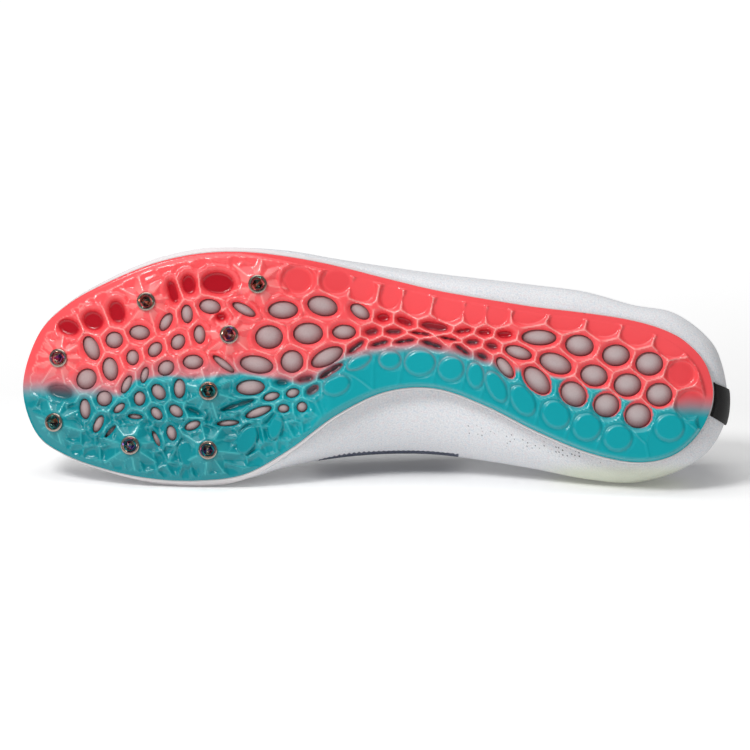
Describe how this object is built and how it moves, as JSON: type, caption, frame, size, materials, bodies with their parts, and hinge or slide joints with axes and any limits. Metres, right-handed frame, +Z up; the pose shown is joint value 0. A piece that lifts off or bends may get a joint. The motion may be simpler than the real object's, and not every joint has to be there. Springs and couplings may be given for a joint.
{
  "type": "track spike shoe",
  "caption": "Left low sprint spike shoe lying on its inner side: white knit upper, open collar, and a rigid honeycomb sole plate with metal spikes under the forefoot.",
  "frame": {"origin": "middle of the shoe's box on the floor it lies on", "axes": "X along the shoe with the toe towards -X; the sole faces -Y, tilted up by about 11 degrees; the shoe's inner side is down; +Z up"},
  "size_m": [0.2852, 0.0994, 0.0946],
  "materials": {
    "plate": "moulded plate, coral fading to teal",
    "foam": "matt grey-pink foam",
    "insole_cloth": "dark insole cloth",
    "knit": "white knit with fine specks",
    "tongue_knit": "white padded knit",
    "stay_film": "navy film, pressed on",
    "tape": "black woven tape",
    "lace_cord": "dark flat lace",
    "seat_steel": "turned steel ring",
    "spike_steel": "oil-slick coated steel"
  },
  "bodies": {
    "root": {"outsole_plate": "plate", "midsole": "foam", "insole": "insole_cloth", "upper": "knit", "tongue": "tongue_knit", "eyestay": "stay_film", "heel_tape": "tape", "lace": "lace_cord", "spike_seat_1": "seat_steel", "spike_seat_2": "seat_steel", "spike_seat_3": "seat_steel", "spike_seat_4": "seat_steel", "spike_seat_5": "seat_steel", "spike_seat_6": "seat_steel", "spike_seat_7": "seat_steel", "spike_seat_8": "seat_steel", "spike_1": "spike_steel", "spike_2": "spike_steel", "spike_3": "spike_steel", "spike_4": "spike_steel", "spike_5": "spike_steel", "spike_6": "spike_steel", "spike_7": "spike_steel", "spike_8": "spike_steel"}
  },
  "joints": []
}
